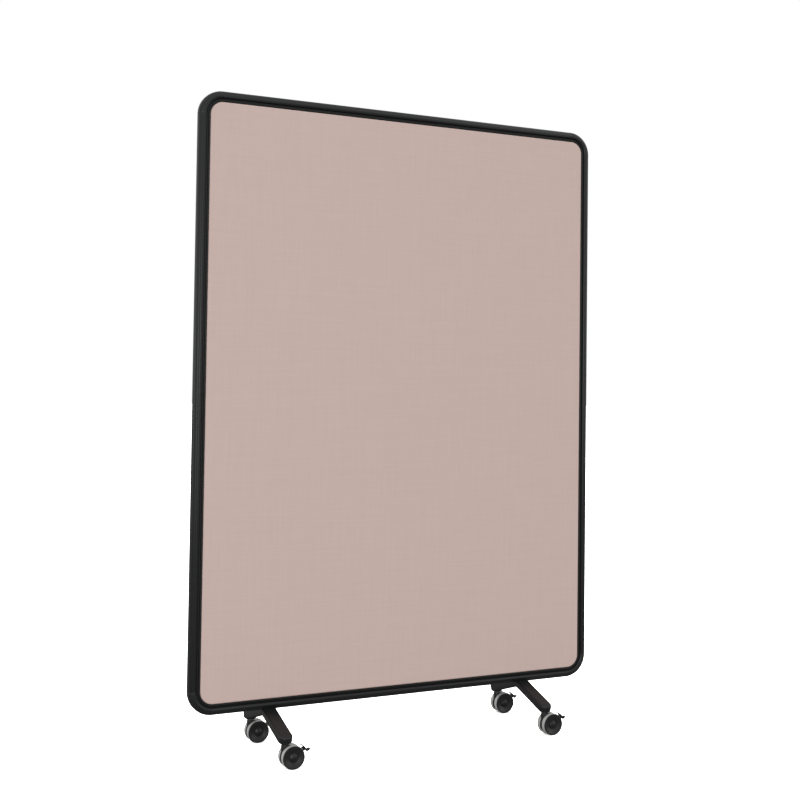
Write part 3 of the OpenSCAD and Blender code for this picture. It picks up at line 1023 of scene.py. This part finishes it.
@dataclass
class Wheel:
    """One wheel of a caster: a dished hub with a domed boss, and the tread round it.

    The dish falls from the rim to a groove round the boss. groove_rise is how far the dish's foot stands
    above the groove's floor, and boss_draft and dish_draft are how far their walls lean out.
    """

    nodes: dict[str, bpy.types.Object]
    caster: str
    letter: str
    rim_width: float = 3.5 * MM
    dish: float = 4.8 * MM
    dish_wall: float = 2.0 * MM
    dish_draft: float = 0.6 * MM
    flange: float = 1.6 * MM
    wall: float = 3.0 * MM
    tread: float = 3.8 * MM
    boss_radius: float = 9.5 * MM
    boss_draft: float = 0.4 * MM
    dome: float = 2.4 * MM
    dome_steps: int = 6
    groove: float = 3.8 * MM
    groove_rise: float = 1.7 * MM
    bore_gap: float = 0.05 * MM
    end_gap: float = 0.3 * MM
    edge: float = 0.6 * MM

    def build(self) -> Iterable[str]:
        """Makes the hub and dresses the tread.

        Yields:
            The name of each piece as it is finished.
        """
        stem = f"{self.caster}_wheel_{self.letter}"
        hub_low, hub_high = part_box(f"{stem}_core")
        tread_low, tread_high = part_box(f"{stem}_tread")
        axle_low, axle_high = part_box(f"{self.caster}_axle")
        # Wheel a looks to -Y, and wheel b to +Y
        inner_face, axle_end, out = (
            (hub_high.y, axle_low.y, -1) if self.letter == "a" else (hub_low.y, axle_high.y, 1)
        )
        middle = (hub_low + hub_high) / 2
        middle.y = inner_face
        section = self._section(
            width=hub_high.y - hub_low.y,
            flange_radius=(hub_high.z - hub_low.z) / 2,
            drum_radius=(tread_high.z - tread_low.z) / 2 - self.tread,
            axle_radius=(axle_high.z - axle_low.z) / 2,
            axle_reach=abs(axle_end - inner_face),
        )
        mesh = turned(section, middle, Vector((0, out, 0)))
        smooth(mesh)
        hub = new_piece(f"{stem}_hub", mesh, HUB_NYLON)
        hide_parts(f"{stem}_core")
        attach(hub, stem)
        yield hub.name
        yield dress(self.nodes[f"{stem}_tread"], TREAD_URETHANE)

    def _section(
        self, width: float, flange_radius: float, drum_radius: float, axle_radius: float, axle_reach: float
    ) -> list[Point]:
        """The hub's half section, from the middle of its outer face round to the floor of its bore.

        Args:
            width: the hub's width along the axle.
            flange_radius: its largest radius.
            drum_radius: the radius under the tread.
            axle_radius: the axle's radius.
            axle_reach: how far the axle goes into the hub.

        Returns:
            Radius and height above the inner face, in order.
        """
        floor = width - self.dish
        rim_in = flange_radius - self.rim_width
        groove_end = self.boss_radius + self.groove
        shoulder = width - self.flange
        drum_in = drum_radius - self.wall
        roof = floor - self.dish_wall
        bore = axle_radius + self.bore_gap
        tube = bore + self.wall
        bore_end = axle_reach + self.end_gap
        shares = [t / self.dome_steps for t in range(self.dome_steps + 1)]
        dome = [(self.boss_radius * t, width - self.dome * t**2) for t in shares]
        outline = [
            (*dome[-1], 0),
            (self.boss_radius + self.boss_draft, floor, self.edge),
            (groove_end, floor, self.edge),
            (groove_end + self.dish_draft, floor + self.groove_rise, self.edge),
            (rim_in, width, 2 * self.edge),
            (flange_radius, width, 1.2 * self.edge),
            (flange_radius, shoulder, self.edge / 2),
            (drum_radius, shoulder, 0),
            (drum_radius, 0.0, self.edge / 2),
            (drum_in, 0.0, self.edge / 2),
            (drum_in, roof, self.edge),
            (tube, roof, self.edge),
            (tube, 0.0, self.edge / 2),
            (bore, 0.0, self.edge / 2),
            (bore, bore_end, 0),
            (0.0, bore_end, 0),
        ]
        return dome[:-1] + rounded(outline)


@dataclass
class Caster:
    """One twin-wheel caster: stem, hood, axle, brake pedal and two wheels."""

    nodes: dict[str, bpy.types.Object]
    place: Place
    hood_edge: float = 0.6 * MM
    pedal_edge: float = 0.35 * MM
    letters: tuple[str, str] = ("a", "b")

    def build(self) -> Iterable[str]:
        """Dresses the caster.

        Yields:
            The name of each piece as it is finished.
        """
        label = self.place.value
        yield dress(self.nodes[f"{label}_stem"], ZINC_STEEL)
        yield dress(self.nodes[f"{label}_axle"], ZINC_STEEL)
        for part, shell, edge, body in (
            ("hood", "housing", self.hood_edge, "swivel"),
            ("pedal", "brake_pedal", self.pedal_edge, "brake"),
        ):
            piece = softened(self.nodes[f"{label}_{part}"], f"{label}_{shell}", edge, HOOD_NYLON)
            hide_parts(f"{label}_{part}")
            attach(piece, f"{label}_{body}")
            yield piece.name
        for letter in self.letters:
            yield from Wheel(self.nodes, label, letter).build()


# ---- Studio ----


@dataclass(frozen=True)
class Softbox:
    """A large square lamp that looks at a point."""

    name: str
    place: tuple[float, float, float]
    target: tuple[float, float, float]
    size: float
    power: float

    def light(self) -> None:
        """Puts the lamp into the scene."""
        lamp = bpy.data.lights.new(self.name, "AREA")
        lamp.size = self.size
        lamp.energy = self.power
        holder = bpy.data.objects.new(self.name, lamp)
        holder.location = self.place
        aim = Vector(self.target) - Vector(self.place)
        holder.rotation_euler = aim.to_track_quat("-Z", "Y").to_euler()
        holder.visible_camera = False
        bpy.context.scene.collection.objects.link(holder)


@dataclass
class Studio:
    """A plain white floor without an end, soft lamps, and the camera where the photograph was taken.

    The key and the fill light the front, and the side lamp gives the left stile its bright outer band. sky
    is the strength of the light from all round, and ceiling that of the light from above, which comes from a
    part of the sky that is ceiling_spread degrees wide. sees_to is how far the camera sees, past the floor's
    edge.
    """

    floor_size: float = 120.0
    sky: float = 0.72
    ceiling: float = 0.7
    ceiling_spread: float = 110.0
    lamps: tuple[Softbox, ...] = (
        Softbox("key", (-4.2, -7.8, 1.4), (0.0, 0.0, 0.7), 3.6, 320.0),
        Softbox("fill", (5.4, -5.0, 1.2), (0.0, 0.0, 0.7), 2.2, 50.0),
        Softbox("side", (-5.6, 1.4, 1.1), (-0.6, 0.0, 0.9), 2.4, 48.0),
    )
    # Solved from the screen's edges and the caster discs: place, turn from +Y, tilt up and roll in degrees
    place: tuple[float, float, float] = (-1.5411, -3.2711, 0.9699)
    yaw: float = 27.458
    pitch: float = 2.092
    roll: float = 0.665
    lens: float = 58.30
    shift: tuple[float, float] = (-0.0688, -0.075)
    sees_to: float = 200.0

    def build(self) -> None:
        """Sets up the floor, the light and the camera."""
        self._floor()
        self._sky()
        self._ceiling()
        for lamp in self.lamps:
            lamp.light()
        self._camera()
        view = bpy.context.scene.view_settings
        view.view_transform = "Standard"
        view.look = "None"

    def _floor(self) -> None:
        """Lays the floor, which isn't part of the object."""
        shape = bmesh.new()
        bmesh.ops.create_grid(shape, x_segments=1, y_segments=1, size=self.floor_size / 2)
        mesh = bpy.data.meshes.new("floor")
        shape.to_mesh(mesh)
        shape.free()
        new_piece("floor", mesh, STUDIO_PAPER)

    def _sky(self) -> None:
        """Gives a soft even light from all round, behind which the camera sees plain white."""
        world = bpy.data.worlds.new("studio")
        world.use_nodes = True
        tree = world.node_tree
        tree.nodes.clear()
        seen = add_node(tree, "ShaderNodeLightPath").outputs["Is Camera Ray"]
        soft = add_node(tree, "ShaderNodeBackground", {"Color": (1, 1, 1, 1), "Strength": self.sky})
        white = add_node(tree, "ShaderNodeBackground", {"Color": (1, 1, 1, 1), "Strength": 1.0})
        mixed = add_node(tree, "ShaderNodeMixShader", {0: seen, 1: soft.outputs[0], 2: white.outputs[0]})
        add_node(tree, "ShaderNodeOutputWorld", {"Surface": mixed.outputs[0]})
        bpy.context.scene.world = world

    def _ceiling(self) -> None:
        """Lights the floor evenly from above, as a wide ceiling of diffusing cloth does."""
        lamp = bpy.data.lights.new("ceiling", "SUN")
        lamp.energy = self.ceiling
        lamp.angle = math.radians(self.ceiling_spread)
        holder = bpy.data.objects.new("ceiling", lamp)
        bpy.context.scene.collection.objects.link(holder)

    def _camera(self) -> None:
        """Puts the camera where the photograph was taken."""
        camera = bpy.data.cameras.new("camera")
        camera.lens = self.lens
        camera.shift_x, camera.shift_y = self.shift
        camera.clip_end = self.sees_to
        holder = bpy.data.objects.new("camera", camera)
        turn = Matrix.Rotation(math.radians(-self.yaw), 4, "Z")
        tilt = Matrix.Rotation(math.radians(90 + self.pitch), 4, "X")
        lean = Matrix.Rotation(math.radians(self.roll), 4, "Z")
        holder.matrix_world = Matrix.Translation(self.place) @ turn @ tilt @ lean
        bpy.context.scene.collection.objects.link(holder)
        bpy.context.scene.camera = holder


def main() -> None:
    """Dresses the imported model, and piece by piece."""
    logging.basicConfig(level=logging.INFO, format="%(message)s")
    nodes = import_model()["nodes"]
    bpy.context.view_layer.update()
    Studio().build()
    feet = [Foot(nodes, side) for side in ("left", "right")]
    casters = [Caster(nodes, place) for place in Place]
    for part in (Screen(nodes), *feet, *casters):
        for name in part.build():
            LOG.info("made %s", name)


if __name__ == "__main__":
    main()
